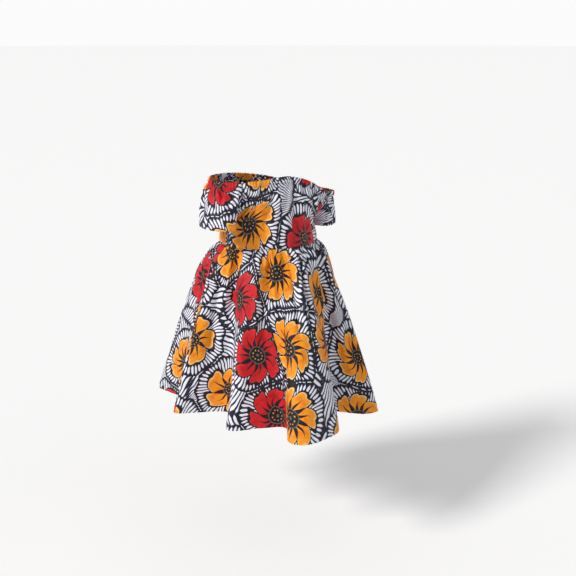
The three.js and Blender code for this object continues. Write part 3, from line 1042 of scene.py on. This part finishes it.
def printed_cotton():
    material, shader = new_material("wax printed cotton")
    tree = material.node_tree
    cut_node = tree.nodes.new("ShaderNodeUVMap")
    cut_node.uv_map = "cut"
    metres = Signal(tree, cut_node.outputs["UV"])
    cut = metres.vector("SCALE", Scale=1000.0)
    tree.links.new(wax_print(cut).socket, shader.inputs["Base Color"])

    # A slight waxed sheen, a little worn off in places.
    worn = noise(cut, 1 / 40, 3.0)
    tree.links.new((worn * 0.16 + 0.5).socket, shader.inputs["Roughness"])
    shader.inputs["Sheen Weight"].default_value = 0.06
    shader.inputs["Sheen Roughness"].default_value = 0.4
    shader.inputs["Specular IOR Level"].default_value = 0.35

    # Plain weave, and the soft crumples of washed cotton.
    x, y, _ = cut.parts()
    turns = 2 * math.pi / THREAD_PITCH
    weave = (x * turns).math("SINE") * (y * turns).math("SINE")
    crumple = noise(cut, 1 / 11, 3.0) + noise(cut, 1 / 34, 2.0) * 1.6
    inputs = {"Strength": 1.0, "Distance": CRUMPLE_HEIGHT * MM, "Height": crumple}
    soft = Signal(tree, cut.node("ShaderNodeBump", inputs).outputs["Normal"])
    inputs = {"Strength": 0.5, "Distance": WEAVE_HEIGHT * MM, "Height": weave, "Normal": soft}
    fine = cut.node("ShaderNodeBump", inputs)
    tree.links.new(fine.outputs["Normal"], shader.inputs["Normal"])
    return material


def sewing_thread():
    material, shader = new_material("sewing thread")
    tree = material.node_tree
    place_node = tree.nodes.new("ShaderNodeTexCoord")
    place = Signal(tree, place_node.outputs["Object"])
    twist = noise(place, 1500.0, 1.0)
    colour = flat_colour(place, dyed(30, 28, 38)).blend(dyed(62, 58, 70), twist)
    tree.links.new(colour.socket, shader.inputs["Base Color"])
    shader.inputs["Roughness"].default_value = 0.6
    return material


# ---- camera, floor and light ----------------------------------------------------------------


def add_camera():
    turn = math.radians(CAMERA["round"])
    lens = bpy.data.cameras.new("camera")
    lens.lens = CAMERA["lens"]
    lens.sensor_width = 36
    camera = bpy.data.objects.new("camera", lens)
    away = CAMERA["away"]
    camera.location = (math.sin(turn) * away, -math.cos(turn) * away, CAMERA["height"])
    tilt = math.radians(90 - CAMERA["down"])
    camera.rotation_euler = (tilt, 0, turn - math.radians(CAMERA["right"]))
    bpy.context.scene.collection.objects.link(camera)
    bpy.context.scene.camera = camera


def add_sun(name, round_at, height, strength, softness, colour):
    """Even light from one side: round_at is the angle it comes from, as the camera's is given."""
    light = bpy.data.lights.new(name, "SUN")
    light.energy = strength
    light.angle = math.radians(softness)
    light.color = colour
    lamp = bpy.data.objects.new(name, light)
    lamp.rotation_euler = (math.radians(90 - height), 0, math.radians(round_at))
    bpy.context.scene.collection.objects.link(lamp)


def add_studio():
    mesh = bpy.data.meshes.new("floor")
    turns = np.linspace(0, 2 * math.pi, FLOOR_SIDES, endpoint=False)
    rim = stacked(np.cos(turns) * FLOOR_RADIUS, np.sin(turns) * FLOOR_RADIUS, 0)
    rim[:, 2] = cad_box[0][2] - FLOOR_BELOW_HEM
    mesh.from_pydata(rim, [], [list(range(FLOOR_SIDES))])
    floor = bpy.data.objects.new("floor", mesh)
    bpy.context.scene.collection.objects.link(floor)
    material, shader = new_material("pale floor")
    shader.inputs["Base Color"].default_value = (0.93, 0.93, 0.93, 1)
    shader.inputs["Roughness"].default_value = 0.9
    shader.inputs["Emission Color"].default_value = (1, 1, 1, 1)
    shader.inputs["Emission Strength"].default_value = FLOOR_GLOW
    mesh.materials.append(material)

    world = bpy.data.worlds.new("soft room")
    world.use_nodes = True
    nodes, link = world.node_tree.nodes, world.node_tree.links.new
    sky = nodes["Background"]
    sky.inputs["Color"].default_value = (0.97, 0.98, 1.0, 1)
    sky.inputs["Strength"].default_value = SKY_LIGHT
    backdrop = nodes.new("ShaderNodeBackground")
    backdrop.inputs["Color"].default_value = (0.97, 0.97, 0.98, 1)
    seen = nodes.new("ShaderNodeMixShader")
    link(nodes.new("ShaderNodeLightPath").outputs["Is Camera Ray"], seen.inputs[0])
    link(sky.outputs[0], seen.inputs[1])
    link(backdrop.outputs[0], seen.inputs[2])
    link(seen.outputs[0], nodes["World Output"].inputs["Surface"])
    bpy.context.scene.world = world
    bpy.context.scene.view_settings.view_transform = "Standard"
    for sun in SUNS:
        add_sun(*sun)


# ---- the dress ------------------------------------------------------------------------------

add_camera()
add_studio()


def sewn(grid, **edges):
    """The sewn edges of a piece, by name: each is (side, first place, last place, depth)."""
    return {name.replace("_", " "): edge_seam(grid.shape[:2], *edge) for name, edge in edges.items()}


# In the casing a seam only turns in as far as the layer behind it.
raglan_deep = np.where(np.arange(RAGLAN_ROWS + 1) <= CASING_ROWS, CASING_PUFF, SEAM_ALLOWANCE)
side_deep = np.append(raglan_deep, np.full(SIDE_ROWS, SEAM_ALLOWANCE))
seam_rows = RAGLAN_ROWS + 1

bodice_front = bodice_grid(-1, "right front seam", "left front seam")
bodice_back = bodice_grid(1, "left back seam", "right back seam")
pieces = []
for name, grid in (("bodice_front", bodice_front), ("bodice_back", bodice_back)):
    rows, columns, _ = grid.shape
    seams = sewn(
        grid,
        left=("left", 0, rows, side_deep),
        right=("right", 0, rows, side_deep),
        waist=("bottom", 0, columns, SEAM_ALLOWANCE),
    )
    pieces.append(Piece(name, grid, -1, seams, neck=slice(0, columns)))

SLEEVE_NECKS = {
    "right": ("right back seam", "right front seam"),
    "left": ("left front seam", "left back seam"),
}
for side, ends in SLEEVE_NECKS.items():
    neck = neck_stretch(*ends, SLEEVE_NECK_COLUMNS)
    neck = neck[::-1] if side == "right" else neck
    front = bodice_front[:seam_rows, 0 if side == "right" else -1]
    back = bodice_back[:seam_rows, -1 if side == "right" else 0]
    grid = sleeve_grid(SLEEVES[side], front, back, neck)
    rows, columns, _ = grid.shape
    seams = sewn(
        grid,
        front=("top", 0, seam_rows, raglan_deep[::-1]),
        back=("top", columns - seam_rows, columns, raglan_deep),
        left_underarm=("left", 0, rows, UNDERARM_ALLOWANCE),
        right_underarm=("right", 0, rows, UNDERARM_ALLOWANCE),
    )
    neck_columns = slice(seam_rows - 1, columns - seam_rows + 1)
    outward = 1 if side == "right" else -1
    pieces.append(Piece(f"sleeve_{side}", grid, outward, seams, neck_columns, SLEEVE_HEM))

folds = gathered_folds()
turns_at = (0, len(FRONT_FOLDS), len(folds))
for name, first, last in (("skirt_front", *turns_at[:2]), ("skirt_back", *turns_at[1:])):
    grid = skirt_grid(folds, first, last)
    rows, columns, _ = grid.shape
    seams = sewn(
        grid,
        right_side=("left", 0, rows, SEAM_ALLOWANCE),
        left_side=("right", 0, rows, SEAM_ALLOWANCE),
        waist=("top", 0, columns, SEAM_ALLOWANCE),
    )
    pieces.append(Piece(name, grid, -1, seams, hem=SKIRT_HEM))

share_normals(pieces)


def skirt_cut(piece):
    """The skirt panel's flat cut: a sector, gathered at its short edge."""
    cut = SKIRT_CUT
    angle = (cut["hem"] - cut["waist"]) / cut["length"]
    inner = cut["waist"] / angle
    radius = inner + piece.fall / piece.fall[-1] * cut["length"]
    turn = (piece.share - 0.5) * angle
    return np.stack([radius * np.sin(turn), inner - radius * np.cos(turn)], axis=-1)


def bodice_cut(piece):
    """The bodice panel's flat cut, wider than it is worn by what its gathers take up."""
    fall = piece.fall / piece.fall[-1]
    top, waist = piece.width[0] * NECK_FULLNESS, piece.width[-1] * WAIST_FULLNESS
    width = mix(top, waist, fall.mean(axis=1)[:, None])
    return np.stack([(piece.share - 0.5) * width, -fall * piece.fall[-1].mean()], axis=-1)


def sleeve_cut(piece):
    """The sleeve's flat cut, open along the underarm, measured up from its hem."""
    across = (piece.share[-1] - 0.5) * piece.width[-1] * SLEEVE_FULLNESS
    return np.stack([np.broadcast_to(across, piece.rest.shape), piece.rest - piece.rest.max()], axis=-1)


# Where each piece's cut lies on the printed cloth: (x, y, turn in degrees).
CUT_PLACES = {
    "bodice_front": (0, 0, 0),
    "bodice_back": (700, 300, 8),
    "sleeve_right": (1500, -200, -6),
    "sleeve_left": (2300, 500, 5),
    "skirt_front": (300, 1500, 0),
    "skirt_back": (1400, 2300, 4),
}


def laid_on_cloth(piece, flat):
    x, y, turn = CUT_PLACES[piece.name]
    turn = math.radians(turn)
    rotation = np.array([[math.cos(turn), math.sin(turn)], [-math.sin(turn), math.cos(turn)]])
    return flat @ rotation + (x, y)


cotton = printed_cotton()
thread = sewing_thread()
stitch_lines = []
for seed, piece in enumerate(pieces):
    kind = piece.name.split("_")[0]
    if kind == "skirt":
        mould_skirt(piece, seed * 10 + 3)
    else:
        mould_top(piece, seed * 10 + 3)
    piece.measure_across()
    flat = {"skirt": skirt_cut, "bodice": bodice_cut, "sleeve": sleeve_cut}[kind](piece)
    cloth = ClothMesh(piece, laid_on_cloth(piece, flat))
    for seam in piece.seams.values():
        cloth.sewn_edge(seam)
    lift = CLOTH / 2 + THREAD_RADIUS * 0.6
    if piece.neck:
        height = piece.fall[: CASING_ROWS + 2, piece.neck]
        gaps = LAYER_GAP + 2 * casing_puff(height)
        gaps[0] = CASING_PUFF * 1.4
        inner, normals = cloth.turned_edge(True, gaps, piece.neck)
        outer = cloth.points[0][CASING_ROWS, piece.neck] + normals[CASING_ROWS] * lift
        stitch_lines += [outer, inner[CASING_ROWS] - normals[CASING_ROWS] * lift]
    if piece.hem:
        row = HEM_ROWS - 1
        gaps = np.full((HEM_ROWS + 1, piece.grid.shape[1]), HEM_GAP)
        gaps[row - 1 :] = LAYER_GAP
        inner, normals = cloth.turned_edge(False, gaps)
        outer = cloth.points[0][::-1][row] + normals[row] * lift
        stitch_lines += [outer, inner[row] - normals[row] * lift]
    shown = cloth.build()
    shown.data.materials.append(cotton)
    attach(shown, "root")
    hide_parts(piece.name)
    low, high = flat.min(axis=(0, 1)) * MM, flat.max(axis=(0, 1)) * MM
    tuple(high - low)

stitches = stitching(stitch_lines, thread)
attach(stitches, "root")
